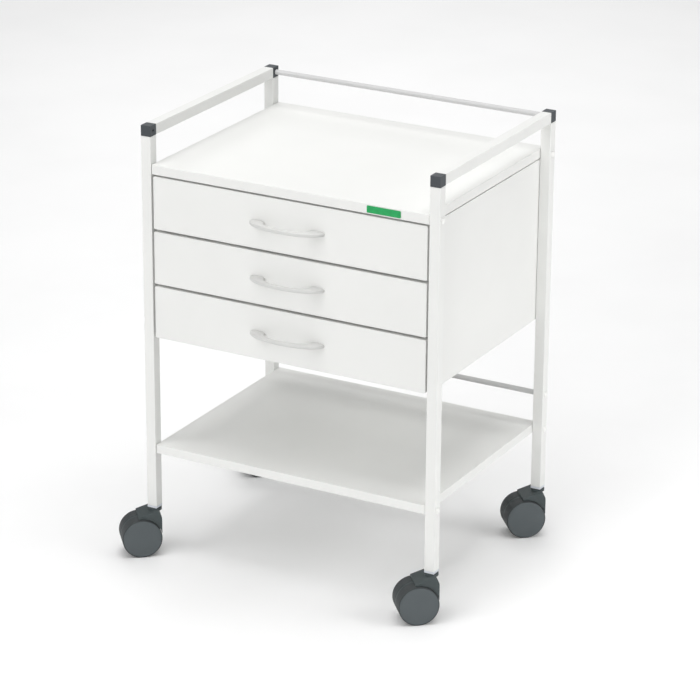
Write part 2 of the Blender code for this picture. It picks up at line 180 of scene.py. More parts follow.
# Castors, in the castor's own frame: x from the stem to the axle, y along the axle
HOOD_HALF_WIDTH = 0.024
HOOD_WHEEL_GAP = 0.0007
HOOD_LIP = (0.0336, 0.0790)
HOOD_CREST = ((-0.0022, 0.0906), (-0.0032, 0.0905), (-0.0042, 0.0901), (-0.0049, 0.0889))
HOOD_REAR = ((-0.0094, 0.0788), (-0.0098, 0.0765), (-0.0100, 0.0731))
HOOD_BACK_END = (-0.0100, 0.0460)
HOOD_EDGE = 0.00028
HOOD_EDGE_ANGLE = 50
ARC_STEPS = 36
WEB_HALF_WIDTH = 0.0027
WEB_RADIUS = 0.0372
WEB_FOOT_Z = 0.017
WEB_INSET = 0.0008
WEB_BACK_ANGLE = 166
WEB_BACK_STEPS = 14
BOSS_RADIUS = 0.0128
BOSS_FOOT = 0.086
BOSS_TOP = 0.0911
BOSS_EDGE = 0.0005
BOSS_SIDES = 48
STEM_BORE = 0.0054
STEM_BORE_END = 0.0708
BORE_SIDES = 32
CUT_RISE = 0.005
CUT_REACH = 0.01
WHEEL_RADIUS = 0.0375
WHEEL_INNER = 0.0030
WHEEL_OUTER = 0.0286
WHEEL_SIDES = 96
TREAD_ROUND = 0.0014
TREAD_INNER_ROUND = 0.0010
TREAD_GAP = 0.0001
TREAD_SHOULDER = 0.0008
TREAD_OUTER_LAP = 0.0016
TREAD_INNER_LAP = 0.0004
DISC_RADIUS = 0.0360
DISC_ROUND = 0.0010
DISC_DOME = 0.0006
BORE_RADIUS = 0.0044
BORE_END = 0.026
AXLE_HALF = 0.0255
AXLE_RADIUS = 0.004
AXLE_CHAMFER = 0.0004
AXLE_SIDES = 32
STEM_RADIUS = 0.0050
STEM_CHAMFER = 0.0008
STEM_GAP = 0.0001
STEM_SIDES = 36

# The wheel body's inner face: radius, height above the wheel's inner plane
DISC_BACK = (
    (BORE_RADIUS, 0.0006),
    (0.009, 0),
    (0.010, 0),
    (0.011, 0.006),
    (0.030, 0.006),
    (0.031, 0.0006),
    (DISC_RADIUS, 0.0006),
)
DISC_CROWN = (0.85, 0.6, 0.35, 0.15)

# The stem's groove: depth, height above the stem's end
STEM_GROOVE = ((0, 0.004), (0.0006, 0.0044), (0.0006, 0.0056), (0, 0.006))


# ---------------------------------------------------------------- materials


class Nodes:
    """A small helper that adds and links shader nodes of one material."""

    def __init__(self, name):
        self.material = bpy.data.materials.new(name)
        self.material.use_nodes = True
        self.tree = self.material.node_tree
        self.shader = self.tree.nodes.get("Principled BSDF")
        self.place = self.add("ShaderNodeTexCoord").outputs["Object"]

    def add(self, kind, **values):
        node = self.tree.nodes.new(kind)
        for name, value in values.items():
            node.inputs[name].default_value = value
        return node

    def link(self, output, target):
        self.tree.links.new(output, target)

    def noise(self, scale, detail=3.0, stretch=None):
        place = self.place
        if stretch:
            mapping = self.add("ShaderNodeMapping")
            mapping.inputs["Scale"].default_value = stretch
            self.link(place, mapping.inputs["Vector"])
            place = mapping.outputs["Vector"]
        texture = self.add("ShaderNodeTexNoise", Scale=scale, Detail=detail, Roughness=0.5)
        self.link(place, texture.inputs["Vector"])
        return texture.outputs["Fac"]

    def spread(self, value, low, high):
        names = ("From Min", "From Max", "To Min", "To Max")
        node = self.add("ShaderNodeMapRange", **dict(zip(names, (*NOISE_RANGE, low, high))))
        self.link(value, node.inputs["Value"])
        return node.outputs["Result"]

    def ramp(self, value, first, second, start=0.35, end=0.65):
        node = self.add("ShaderNodeValToRGB")
        stops = node.color_ramp.elements
        stops[0].position, stops[0].color = start, (*first, 1)
        stops[1].position, stops[1].color = end, (*second, 1)
        self.link(value, node.inputs["Fac"])
        return node.outputs["Color"]

    def clouds(self, value, base, dark=0.985, light=1.01):
        return self.ramp(value, tint(base, dark), tint(base, light))

    def bump(self, height, strength, distance, below=None):
        node = self.add("ShaderNodeBump", Strength=strength, Distance=distance)
        self.link(height, node.inputs["Height"])
        if below is not None:
            self.link(below, node.inputs["Normal"])
        return node.outputs["Normal"]

    def shade(self, **values):
        for name, value in values.items():
            target = self.shader.inputs[name.replace("_", " ")]
            if hasattr(value, "links"):
                self.link(value, target)
            else:
                target.default_value = value
        return self.material


def tint(colour, factor):
    return tuple(channel * factor for channel in colour)


def powder_coat(name, base):
    """Powder coat: orange peel of about 1.5 mm and a finer grain."""
    nodes = Nodes(name)
    cloud = nodes.noise(9.0, 2.0)
    peel = nodes.bump(nodes.noise(620.0, 2.0), 0.16, 0.0004)
    grain = nodes.bump(nodes.noise(2600.0, 1.0), 0.06, 0.0002, peel)
    return nodes.shade(
        Base_Color=nodes.clouds(cloud, base),
        Roughness=nodes.spread(nodes.noise(240.0), 0.30, 0.40),
        Normal=grain,
    )


def melamine(name, base, pearl=0.05):
    """White melamine on chipboard: a fine pearl texture and faint clouding."""
    nodes = Nodes(name)
    cloud = nodes.noise(5.0, 3.0)
    pearls = nodes.bump(nodes.noise(1500.0, 2.0), pearl, 0.0003)
    return nodes.shade(
        Base_Color=nodes.clouds(cloud, base),
        Roughness=nodes.spread(nodes.noise(420.0, 4.0), 0.40, 0.52),
        Normal=pearls,
    )


def edge_band():
    """ABS edge band: finer than the board's face, with faint level lines."""
    nodes = Nodes("edge_band_white")
    base = (0.80, 0.803, 0.785)
    lines = nodes.noise(60.0, 3.0, (1.0, 1.0, 40.0))
    return nodes.shade(
        Base_Color=nodes.clouds(nodes.noise(14.0), base),
        Roughness=nodes.spread(lines, 0.34, 0.44),
        Normal=nodes.bump(lines, 0.05, 0.0002),
    )


def spark_plastic(name, base, rough=(0.42, 0.56), bump=0.18, wear=1.18):
    """Moulded plastic with a spark-eroded surface and slightly lighter patches."""
    nodes = Nodes(name)
    grain = nodes.noise(2100.0, 3.0)
    patch = nodes.noise(38.0, 4.0)
    return nodes.shade(
        Base_Color=nodes.ramp(patch, base, tint(base, wear), 0.4, 0.75),
        Roughness=nodes.spread(patch, *rough),
        Normal=nodes.bump(grain, bump, 0.0002),
    )


def tread_rubber():
    """Grey tread with fine streaks and a little dust."""
    nodes = Nodes("tread_rubber")
    base = (0.040, 0.046, 0.048)
    dust = nodes.noise(90.0, 5.0)
    grain = nodes.noise(1400.0, 2.0)
    marks = nodes.noise(45.0, 4.0, (1.0, 30.0, 1.0))
    return nodes.shade(
        Base_Color=nodes.ramp(dust, base, tint(base, 1.35), 0.45, 0.8),
        Roughness=nodes.spread(dust, 0.58, 0.72),
        Normal=nodes.bump(grain, 0.12, 0.0003, nodes.bump(marks, 0.08, 0.0003)),
    )


def zinc_steel(name, stretch):
    """Zinc-plated steel, drawn along the direction of least stretch."""
    nodes = Nodes(name)
    base = (0.62, 0.64, 0.66)
    drawn = nodes.noise(90.0, 4.0, stretch)
    return nodes.shade(
        Base_Color=nodes.clouds(nodes.noise(28.0, 4.0), base, 0.88, 1.05),
        Metallic=1.0,
        Roughness=nodes.spread(drawn, 0.24, 0.40),
        Normal=nodes.bump(drawn, 0.10, 0.0002),
    )


def satin_paint():
    """Pale satin paint on the die-cast handles."""
    nodes = Nodes("handle_satin_paint")
    base = (0.62, 0.62, 0.607)
    return nodes.shade(
        Base_Color=nodes.clouds(nodes.noise(30.0, 3.0), base, 0.975, 1.015),
        Roughness=nodes.spread(nodes.noise(300.0, 2.0), 0.32, 0.42),
        Normal=nodes.bump(nodes.noise(900.0, 2.0), 0.03, 0.00005),
    )


def label_green():
    """Blank adhesive plate with a faint print grain."""
    nodes = Nodes("label_green")
    base = (0.004, 0.33, 0.085)
    return nodes.shade(
        Base_Color=nodes.clouds(nodes.noise(160.0, 4.0), base, 0.9, 1.1),
        Roughness=nodes.spread(nodes.noise(500.0), 0.28, 0.38),
        Normal=nodes.bump(nodes.noise(1800.0), 0.05, 0.0002),
    )


def floor_paint():
    nodes = Nodes("studio_floor")
    return nodes.shade(
        Base_Color=nodes.ramp(nodes.noise(3.0), (0.93, 0.93, 0.93), (0.95, 0.95, 0.95)),
        Roughness=0.9,
    )


POWDER = powder_coat("powder_coat_white", (0.80, 0.803, 0.785))
# Painted shade: the rods are white powder coat like the tubes, given here as a darker grey copy that
# stands in for the shade they sit in
ROD_COAT_PAINTED_SHADE = powder_coat("powder_coat_rods_painted_shade", (0.56, 0.56, 0.56))
LAMINATE = melamine("melamine_white", (0.80, 0.803, 0.785))
TRAY_BOARD = melamine("drawer_board_white", (0.77, 0.77, 0.75), 0.07)
TRAY_FLOOR = melamine("drawer_floor_white", (0.74, 0.74, 0.715), 0.10)
EDGE = edge_band()
CONNECTOR_PLASTIC = spark_plastic("connector_plastic", (0.046, 0.054, 0.061))
HOOD_PLASTIC = spark_plastic("hood_plastic", (0.043, 0.056, 0.058), (0.48, 0.60), 0.15)
DISC_PLASTIC = spark_plastic("disc_plastic", (0.078, 0.093, 0.099), (0.42, 0.54), 0.12, 1.08)
PLUG_PLASTIC = spark_plastic("plug_plastic", (0.68, 0.71, 0.76), (0.35, 0.45), 0.08, 1.04)
CAP_PLASTIC = spark_plastic("cap_plastic", (0.84, 0.84, 0.82), (0.30, 0.40), 0.05, 1.02)
TREAD = tread_rubber()
SLIDE_STEEL = zinc_steel("slide_zinc", (1.0, 0.05, 1.0))
STEM_STEEL = zinc_steel("stem_zinc", (1.0, 1.0, 0.1))
HANDLE_PAINT = satin_paint()
LABEL = label_green()


# ---------------------------------------------------------------- mesh tools


def mesh_of(data, name):
    """Turns mesh data into a mesh block and frees it."""
    mesh = bpy.data.meshes.new(name)
    data.to_mesh(mesh)
    data.free()
    return mesh


def in_scene(name, content):
    """A new object in the scene."""
    obj = bpy.data.objects.new(name, content)
    bpy.context.scene.collection.objects.link(obj)
    return obj


def shade_mesh(mesh, material, smooth):
    mesh.materials.clear()
    mesh.materials.append(material)
    mesh.shade_smooth()
    mesh.set_sharp_from_angle(angle=math.radians(smooth))


def piece(name, data, material, body, replaces=(), place=None, smooth=SMOOTH_ANGLE):
    """Turns mesh data, or a finished mesh, into a piece that rides on a body."""
    mesh = data
    if isinstance(data, bmesh.types.BMesh):
        bmesh.ops.recalc_face_normals(data, faces=data.faces)
        mesh = mesh_of(data, name)
        shade_mesh(mesh, material, smooth)
    obj = in_scene(name, mesh)
    if place is not None:
        obj.matrix_world = place
    weighted = obj.modifiers.new("weighted_normal", "WEIGHTED_NORMAL")
    weighted.keep_sharp = True
    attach(obj, body)
    if replaces:
        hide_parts(*replaces)


def merged(parts):
    """One mesh from several."""
    whole = bmesh.new()
    for part in parts:
        mesh = mesh_of(part, "part")
        whole.from_mesh(mesh)
        bpy.data.meshes.remove(mesh)
    return whole


def round_edges(data, edges, width, steps):
    bmesh.ops.bevel(data, geom=edges, offset=width, segments=steps, profile=0.5, affect="EDGES")


def rounded_box(low, high, radius, steps=ROUND_STEPS):
    """A box with all its edges rounded."""
    data = bmesh.new()
    bmesh.ops.create_cube(data, size=1)
    low, high = Vector(low), Vector(high)
    for vert in data.verts:
        vert.co = [low[i] + (vert.co[i] + 0.5) * (high[i] - low[i]) for i in range(3)]
    round_edges(data, data.edges[:], radius, steps)
    return data


def bevelled(data, width, steps, angle=40):
    """Rounds the edges that turn by more than the angle."""
    edges = [e for e in data.edges if e.is_manifold and e.calc_face_angle() > math.radians(angle)]
    round_edges(data, edges, width, steps)


def prism(outline, start, end, place):
    """The outline's points (a, b) as (a, b, c), extruded from c = start to end."""
    data = bmesh.new()
    face = data.faces.new([data.verts.new((a, b, start)) for a, b in outline])
    raised = bmesh.ops.extrude_face_region(data, geom=[face])
    moved = [item for item in raised["geom"] if isinstance(item, bmesh.types.BMVert)]
    bmesh.ops.translate(data, verts=moved, vec=(0, 0, end - start))
    data.transform(place)
    bmesh.ops.recalc_face_normals(data, faces=data.faces)
    return data


def skin(rings, loop=False):
    """Quads between rings of points, closed at both ends or in a loop; one point is a tip."""
    data = bmesh.new()
    made = [[data.verts.new(point) for point in ring] for ring in rings]
    count = max(len(ring) for ring in rings)
    following = made[1:] + made[:1] if loop else made[1:]
    for lower, upper in zip(made, following):
        for i in range(count):
            j = (i + 1) % count
            corners = (lower[i % len(lower)], lower[j % len(lower)])
            corners += (upper[j % len(upper)], upper[i % len(upper)])
            data.faces.new(dict.fromkeys(corners))
    if not loop:
        for ring in (made[0], made[-1]):
            if len(ring) > 2:
                data.faces.new(ring)
    bmesh.ops.recalc_face_normals(data, faces=data.faces)
    return data


def circle(radius, along, sides):
    angles = [2 * math.pi * i / sides for i in range(sides)]
    return [(radius * math.cos(a), radius * math.sin(a), along) for a in angles]


def turned(profile, sides, place=None):
    """The profile's points (radius, along) turned about the axis."""
    data = skin([circle(radius, c, sides) if radius else [(0, 0, c)] for radius, c in profile])
    if place is not None:
        data.transform(place)
    return data


def cylinder(radius, low, high, sides):
    return turned([(0, low), (radius, low), (radius, high), (0, high)], sides)


def arc(centre, radius, start, end, steps):
    """Points on an arc, with its ends, angles in degrees."""
    angles = [math.radians(start + (end - start) * i / steps) for i in range(steps + 1)]
    return [(centre[0] + radius * math.cos(a), centre[1] + radius * math.sin(a)) for a in angles]


def rounded_rectangle(width, height, radius):
    points = []
    for quarter, (a, b) in enumerate(((1, 1), (-1, 1), (-1, -1), (1, -1))):
        centre = (a * (width / 2 - radius), b * (height / 2 - radius))
        points += arc(centre, radius, 90 * quarter, 90 * quarter + 90, CORNER_STEPS)
    return points


def cut(obj, *cutters, operation="DIFFERENCE"):
    """Applies one Boolean per cutter to a working object."""
    helpers = []
    for cutter in cutters:
        helper = in_scene("cutter", mesh_of(cutter, "cutter"))
        modifier = obj.modifiers.new("cut", "BOOLEAN")
        modifier.operation = operation
        modifier.object = helper
        helpers.append(helper)
    graph = bpy.context.evaluated_depsgraph_get()
    mesh = bpy.data.meshes.new_from_object(obj.evaluated_get(graph))
    obj.modifiers.clear()
    obj.data = mesh
    for helper in helpers:
        bpy.data.objects.remove(helper)


def working_object(data):
    return in_scene("work", mesh_of(data, "work"))


def finished_mesh(obj, material, smooth=SMOOTH_ANGLE):
    """The mesh of a working object, shaded, which several pieces can share."""
    mesh = obj.data
    bpy.data.objects.remove(obj)
    shade_mesh(mesh, material, smooth)
    return mesh


def shaded(data, material):
    return finished_mesh(working_object(data), material)


ALONG_X = Matrix(((0, 0, 1, 0), (1, 0, 0, 0), (0, 1, 0, 0), (0, 0, 0, 1)))
ALONG_Y = Matrix(((0, 1, 0, 0), (0, 0, 1, 0), (1, 0, 0, 0), (0, 0, 0, 1)))
UP = Matrix.Identity(4)
AXES = {"x": ALONG_X, "y": ALONG_Y, "z": UP}


def axis_place(axis, location):
    """Turns c onto an axis, at a location.

    About +X, a is +Y; about +Y, a is +Z; about +Z, a is +X.
    """
    return Matrix.Translation(location) @ AXES[axis]


def middle_of(node):
    low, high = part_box(node)
    return (low + high) / 2


# ---------------------------------------------------------------- the frame


def square_tube(node, axis):
    """A tube with rounded corners and chamfered ends in the place of its CAD node."""
    low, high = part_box(node)
    index = "xyz".index(axis)
    outside = min(high - low)
    inside = outside - 2 * TUBE_WALL
    half = (high[index] - low[index]) / 2
    rings = []
    for width, radius, along in (
        (outside - 2 * TUBE_EDGE, TUBE_CORNER, -half),
        (outside, TUBE_CORNER, -half + TUBE_EDGE),
        (outside, TUBE_CORNER, half - TUBE_EDGE),
        (outside - 2 * TUBE_EDGE, TUBE_CORNER, half),
        (inside, TUBE_INNER_CORNER, half),
        (inside, TUBE_INNER_CORNER, -half),
    ):
        rings.append([(a, b, along) for a, b in rounded_rectangle(width, width, radius)])
    data = skin(rings, loop=True)
    data.transform(axis_place(axis, (low + high) / 2))
    piece(f"{node}_tube", data, POWDER, ROOT, [node], smooth=SMOOTH_ROUND)


def connector(corner, side, end):
    """A moulded cube with spigots, a shoulder line over the post and a pin hole on its inner side."""
    node = f"corner_connector_{corner}"
    low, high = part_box(node)
    post_low, post_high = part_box(f"post_{corner}")
    cube_low = Vector((post_low.x, post_low.y, post_high.z + CONNECTOR_GAP))
    cube_high = Vector((post_high.x, post_high.y, high.z))
    middle = (cube_low + cube_high) / 2
    cube = rounded_box(cube_low, cube_high, CONNECTOR_EDGE)
    reach = SPIGOT_HALF
    down = rounded_box(
        (middle.x - reach, middle.y - reach, low.z),
        (middle.x + reach, middle.y + reach, middle.z),
        SPIGOT_EDGE,
        SPIGOT_STEPS,
    )
    back_y = sorted((middle.y, low.y if end > 0 else high.y))
    back = rounded_box(
        (middle.x - reach, back_y[0], middle.z - reach),
        (middle.x + reach, back_y[1], middle.z + reach),
        SPIGOT_EDGE,
        SPIGOT_STEPS,
    )
    obj = working_object(cube)
    cut(obj, down, back, operation="UNION")
    inner_x = cube_low.x if side > 0 else cube_high.x
    hole = cylinder(PIN_HOLE_RADIUS, -PIN_HOLE_DEPTH, PIN_HOLE_DEPTH, PIN_HOLE_SIDES)
    hole.transform(axis_place("x", (inner_x, middle.y, middle.z)))
    cut(obj, hole)
    mesh = finished_mesh(obj, CONNECTOR_PLASTIC, SMOOTH_BENDS)
    piece(f"{node}_moulding", mesh, None, ROOT, [node])


def rods():
    """Round rods with chamfered ends; the upper one has a pin at each end for the connectors."""
    for name, pin in (("upper", ROD_PIN_LENGTH), ("lower", 0)):
        node = f"rear_rod_{name}"
        low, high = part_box(node)
        radius = (high.z - low.z) / 2
        half = (high.x - low.x) / 2
        body = half - pin
        profile = [(0, -half)]
        if pin:
            profile += [(ROD_PIN_RADIUS, -half), (ROD_PIN_RADIUS, -body)]
        profile += [(radius - ROD_CHAMFER, -body), (radius, -body + ROD_CHAMFER)]
        profile += [(r, -along) for r, along in reversed(profile)]
        data = turned(profile, ROD_SIDES, axis_place("x", (low + high) / 2))
        # The rods' grey coat is painted shade on white powder coat
        piece(f"{node}_bar", data, ROD_COAT_PAINTED_SHADE, ROOT, [node])


def screw_cap(name, location, side):
    """A domed cap on a post's outer face."""
    profile = [(0, 0), (CAP_RADIUS * CAP_FOOT, 0)]
    for across, rise in arc((0, 0), 1, 0, 90, CAP_STEPS)[:-1]:
        profile.append((CAP_RADIUS * across, CAP_RIM + (CAP_HEIGHT - CAP_RIM) * rise))
    profile.append((0, CAP_HEIGHT))
    place = Matrix.Translation(location) @ Matrix.Rotation(math.radians(90 * side), 4, "Y")
    piece(name, turned(profile, CAP_SIDES, place), CAP_PLASTIC, ROOT)


def screw_caps():
    """On the posts' outer faces: at the top panel and shelf, and at the rear posts' lower rod."""
    panel = middle_of("top_panel")
    shelf = middle_of("lower_shelf")
    rod = middle_of("rear_rod_lower")
    for corner, (side, end) in CORNERS.items():
        low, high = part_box(f"post_{corner}")
        face = high.x if side > 0 else low.x
        y = (low.y + high.y) / 2
        levels = {"top": panel.z, "shelf": shelf.z}
        if end > 0:
            levels["rod"] = rod.z
        for level, z in levels.items():
            screw_cap(f"screw_cap_{level}_{corner}", (face, y, z), side)


# ---------------------------------------------------------------- boards


def band_ring(width, height, thickness):
    """An edge band round a board: a ring whose outer edges are rounded, in (a, b, c)."""
    half, radius = thickness / 2, BOARD_RADIUS
    section = [(0, half)]
    section += arc((BAND - radius, half - radius), radius, 90, 0, ROUND_STEPS)
    section += arc((BAND - radius, radius - half), radius, 0, -90, ROUND_STEPS)
    section += [(0, -half)]
    rings = []
    for depth, c in section:
        inset = BAND - depth
        corner = max(BAND_CORNER - inset, BAND_CORNER_LEAST)
        outline = rounded_rectangle(width - 2 * inset, height - 2 * inset, corner)
        rings.append([(a, b, c) for a, b in outline])
    return skin(rings, loop=True)


def banded_board(node, axis, body):
    """A laminated board in the place of its CAD node: a core and the edge band round it."""
    low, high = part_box(node)
    size = high - low
    index = "xyz".index(axis)
    width, height, thickness = size[(index + 1) % 3], size[(index + 2) % 3], size[index]
    place = axis_place(axis, (low + high) / 2)
    band = band_ring(width, height, thickness)
    band.transform(place)
    inset = BAND + BAND_SEAM
    half = Vector((width / 2 - inset, height / 2 - inset, thickness / 2))
    slab = rounded_box(-half, half, BOARD_EDGE, 1)
    slab.transform(place)
    piece(f"{node}_board", slab, LAMINATE, body, [node])
    piece(f"{node}_band", band, EDGE, body, smooth=SMOOTH_ROUND)


def boards():
    banded_board("top_panel", "z", ROOT)
    banded_board("lower_shelf", "z", ROOT)
    for side in SIDES:
        banded_board(f"cabinet_side_{side}", "x", ROOT)
    banded_board("cabinet_back", "y", ROOT)
    banded_board("cabinet_bottom", "z", ROOT)


def label_plate():
    low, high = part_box("label_plate")
    middle, size = (low + high) / 2, high - low
    half = size.y / 2
    outline = rounded_rectangle(size.z, size.x, LABEL_CORNER)
    data = prism(outline, -half, half, axis_place("y", middle))
    bevelled(data, LABEL_EDGE, 2)
    piece("label_blank", data, LABEL, ROOT, ["label_plate"])


# ---------------------------------------------------------------- drawers


def handle(drawer):
    """A bow handle: superellipse sections from foot to foot between two half ellipses in plan."""
    node = f"handle_{drawer}"
    low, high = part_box(node)
    middle = (low + high) / 2
    half_length = (high.x - low.x) / 2
    reach = high.y - low.y
    inner_reach = reach - HANDLE_THICKNESS
    power = 2 / HANDLE_SQUARENESS
    rings = []
    for i in range(HANDLE_SECTIONS + 1):
        angle = math.pi * i / HANDLE_SECTIONS
        outer = Vector((half_length * math.cos(angle), -reach * math.sin(angle), 0))
        inner = Vector((HANDLE_OPENING * math.cos(angle), -inner_reach * math.sin(angle), 0))
        centre = (outer + inner) / 2
        across = (outer - inner) / 2
        foot = abs(math.cos(angle)) ** HANDLE_FOOT_POWER
        tall = (HANDLE_HEIGHT + (HANDLE_FOOT_HEIGHT - HANDLE_HEIGHT) * foot) / 2
        ring = []
        for j in range(HANDLE_AROUND):
            turn = 2 * math.pi * j / HANDLE_AROUND
            cosine, sine = math.cos(turn), math.sin(turn)
            a = math.copysign(abs(cosine) ** power, cosine)
            b = math.copysign(abs(sine) ** power, sine)
            ring.append(centre + across * a + Vector((0, 0, tall * b)))
        rings.append(ring)
    data = skin(rings)
    data.transform(Matrix.Translation((middle.x, high.y, middle.z)))
    body = f"drawer_{drawer}"
    piece(f"{node}_bow", data, HANDLE_PAINT, body, [node], smooth=SMOOTH_ROUND)


def drawer_box(drawer):
    """Four boards and a floor between them, in the place of the tray's CAD node."""
    node = f"drawer_tray_{drawer}"
    body = f"drawer_{drawer}"
    low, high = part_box(node)
    wall, inset = TRAY_WALL, TRAY_WALL + TRAY_SEAM
    parts = []
    for x0, x1 in ((low.x, low.x + wall), (high.x - wall, high.x)):
        parts.append(rounded_box((x0, low.y, low.z), (x1, high.y, high.z), TRAY_EDGE, TRAY_STEPS))
    inner_x = (low.x + inset, high.x - inset)
    for y0, y1 in ((low.y, low.y + wall), (high.y - wall, high.y)):
        near, far = (inner_x[0], y0, low.z), (inner_x[1], y1, high.z)
        parts.append(rounded_box(near, far, TRAY_EDGE, TRAY_STEPS))
    piece(f"{node}_sides", merged(parts), TRAY_BOARD, body, [node])
    floor = rounded_box(
        (inner_x[0], low.y + inset, low.z + TRAY_FLOOR_BOTTOM),
        (inner_x[1], high.y - inset, low.z + TRAY_FLOOR_TOP),
        TRAY_FLOOR_EDGE,
        1,
    )
    piece(f"{node}_floor", floor, TRAY_FLOOR, body)


def handle_screws(drawer):
    """Two pan-head screws inside the drawer box, behind the handle's feet."""
    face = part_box(f"drawer_tray_{drawer}")[0].y + TRAY_WALL
    middle = middle_of(f"handle_{drawer}")
    profile = [(SCREW_RADIUS * across, SCREW_HEIGHT * rise) for across, rise in PAN_HEAD]
    heads = []
    for side in SIDES.values():
        place = axis_place("y", (middle.x + side * HANDLE_SCREW_X, face, middle.z))
        heads.append(turned(profile, SCREW_SIDES, place))
    piece(f"handle_screws_{drawer}", merged(heads), STEM_STEEL, f"drawer_{drawer}")


def channel_outline(height, reach):
    """A C channel with rounded bends, its web's outer face at a = 0, open towards +a."""
    half, bend, sheet = height / 2, SLIDE_BEND, SLIDE_SHEET
    inner = bend - sheet
    lower, upper = (bend, bend - half), (bend, half - bend)
    outline = [(reach, -half), *arc(lower, bend, 270, 180, 4), *arc(upper, bend, 180, 90, 4)]
    outline += [(reach, half), (reach, half - sheet), *arc(upper, inner, 90, 180, 3)]
    outline += [*arc(lower, inner, 180, 270, 3), (reach, sheet - half)]
    return outline


def slide_channel(node, body, web_side):
    """A rolled channel in the place of its CAD node; web_side is the side its web is on."""
    low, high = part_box(node)
    size, middle = high - low, (low + high) / 2
    web = high.x if web_side > 0 else low.x
    outline = channel_outline(size.z, size.x)
    points = [(b, web - web_side * a - middle.x) for a, b in outline]
    half = size.y / 2
    data = prism(points, -half, half, axis_place("y", middle))
    piece(f"{node}_channel", data, SLIDE_STEEL, body, [node], smooth=SMOOTH_BENDS)


def slide_balls(drawer, side):
    """Two rows of balls at the front of the cabinet rail, between its flanges and the runner's."""
    rail_low, rail_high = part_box(f"cabinet_rail_{side}_{drawer}")
    run_low, run_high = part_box(f"drawer_runner_{side}_{drawer}")
    x = (run_low.x + run_high.x) / 2
    upper = (rail_high.z - SLIDE_SHEET + run_high.z) / 2
    lower = (rail_low.z + SLIDE_SHEET + run_low.z) / 2
    parts = []
    for z in (upper, lower):
        for i in range(BALL_COUNT):
            ball = bmesh.new()
            bmesh.ops.create_icosphere(ball, subdivisions=2, radius=BALL_RADIUS)
            y = rail_low.y + BALL_START + BALL_PITCH * i
            ball.transform(Matrix.Translation((x, y, z)))
            parts.append(ball)
    piece(f"slide_balls_{side}_{drawer}", merged(parts), STEM_STEEL, ROOT)


def slide_screws(drawer, side):
    """Three low screw heads on the inner face of the cabinet rail's web."""
    low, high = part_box(f"cabinet_rail_{side}_{drawer}")
    sign = SIDES[side]
    face = high.x - SLIDE_SHEET if sign > 0 else low.x + SLIDE_SHEET
    turn = Matrix.Rotation(math.radians(-90 * sign), 4, "Y")
    heads = []
    for share in RAIL_SCREW_SHARES:
        at = (face, low.y + share * (high.y - low.y), (low.z + high.z) / 2)
        heads.append(turned(RAIL_SCREW_HEAD, RAIL_SCREW_SIDES, Matrix.Translation(at) @ turn))
    piece(f"rail_screws_{side}_{drawer}", merged(heads), STEM_STEEL, ROOT)


def drawers():
    for drawer in DRAWERS:
        body = f"drawer_{drawer}"
        banded_board(f"drawer_front_{drawer}", "y", body)
        drawer_box(drawer)
        handle(drawer)
        handle_screws(drawer)
        for side, sign in SIDES.items():
            slide_channel(f"cabinet_rail_{side}_{drawer}", ROOT, sign)
            slide_channel(f"drawer_runner_{side}_{drawer}", body, -sign)
            slide_balls(drawer, side)
            slide_screws(drawer, side)


# ---------------------------------------------------------------- castors

# Turns (a, b, c) to (a, -c, b): an outline in x and z, with its thickness along y
ACROSS = Matrix(((1, 0, 0, 0), (0, 0, -1, 0), (0, 1, 0, 0), (0, 0, 0, 1)))


def hood_outline(trail):
    axle = (trail, WHEEL_RADIUS)
    reach = WHEEL_RADIUS + HOOD_WHEEL_GAP
    front = math.degrees(math.acos((HOOD_LIP[0] - trail) / reach))
    back = 180 - math.degrees(math.asin((HOOD_BACK_END[1] - WHEEL_RADIUS) / reach))
    outline = [HOOD_LIP, *HOOD_CREST, *HOOD_REAR, HOOD_BACK_END]
    return outline + arc(axle, reach, back, front, ARC_STEPS)


def web_outline(trail):
    axle = (trail, WHEEL_RADIUS)
    dip = math.degrees(math.asin((WHEEL_RADIUS - WEB_FOOT_Z) / WEB_RADIUS))
    lip_x = HOOD_LIP[0] - WEB_INSET
    lip = math.degrees(math.acos((lip_x - trail) / WEB_RADIUS))
    outline = [*arc(axle, WEB_RADIUS, -dip, lip, ARC_STEPS), (lip_x, HOOD_LIP[1] - WEB_INSET)]
    outline += [(x + WEB_INSET, z - WEB_INSET) for x, z in (*HOOD_CREST, *HOOD_REAR)]
    outline += [(HOOD_BACK_END[0] + WEB_INSET, HOOD_BACK_END[1] + WEB_INSET)]
    return outline + arc(axle, WEB_RADIUS, WEB_BACK_ANGLE, 180 + dip, WEB_BACK_STEPS)


def hood_mesh(trail):
    """The hood, the web between the wheels and the boss, with holes for the stem and the axle."""
    half = HOOD_HALF_WIDTH
    hood = prism(hood_outline(trail), -half, half, ACROSS)
    bevelled(hood, HOOD_EDGE, 3, HOOD_EDGE_ANGLE)
    web = prism(web_outline(trail), -WEB_HALF_WIDTH, WEB_HALF_WIDTH, ACROSS)
    profile = [(0, BOSS_FOOT), (BOSS_RADIUS, BOSS_FOOT), (BOSS_RADIUS, BOSS_TOP - BOSS_EDGE)]
    profile += [(BOSS_RADIUS - BOSS_EDGE, BOSS_TOP), (0, BOSS_TOP)]
    obj = working_object(hood)
    cut(obj, web, turned(profile, BOSS_SIDES), operation="UNION")
    bore = cylinder(STEM_BORE, STEM_BORE_END, BOSS_TOP + CUT_RISE, BORE_SIDES)
    hole = cylinder(BORE_RADIUS, -CUT_REACH, CUT_REACH, BORE_SIDES)
    hole.transform(Matrix.Translation((trail, 0, WHEEL_RADIUS)) @ ACROSS)
    cut(obj, bore, hole)
    return finished_mesh(obj, HOOD_PLASTIC, SMOOTH_FINE)


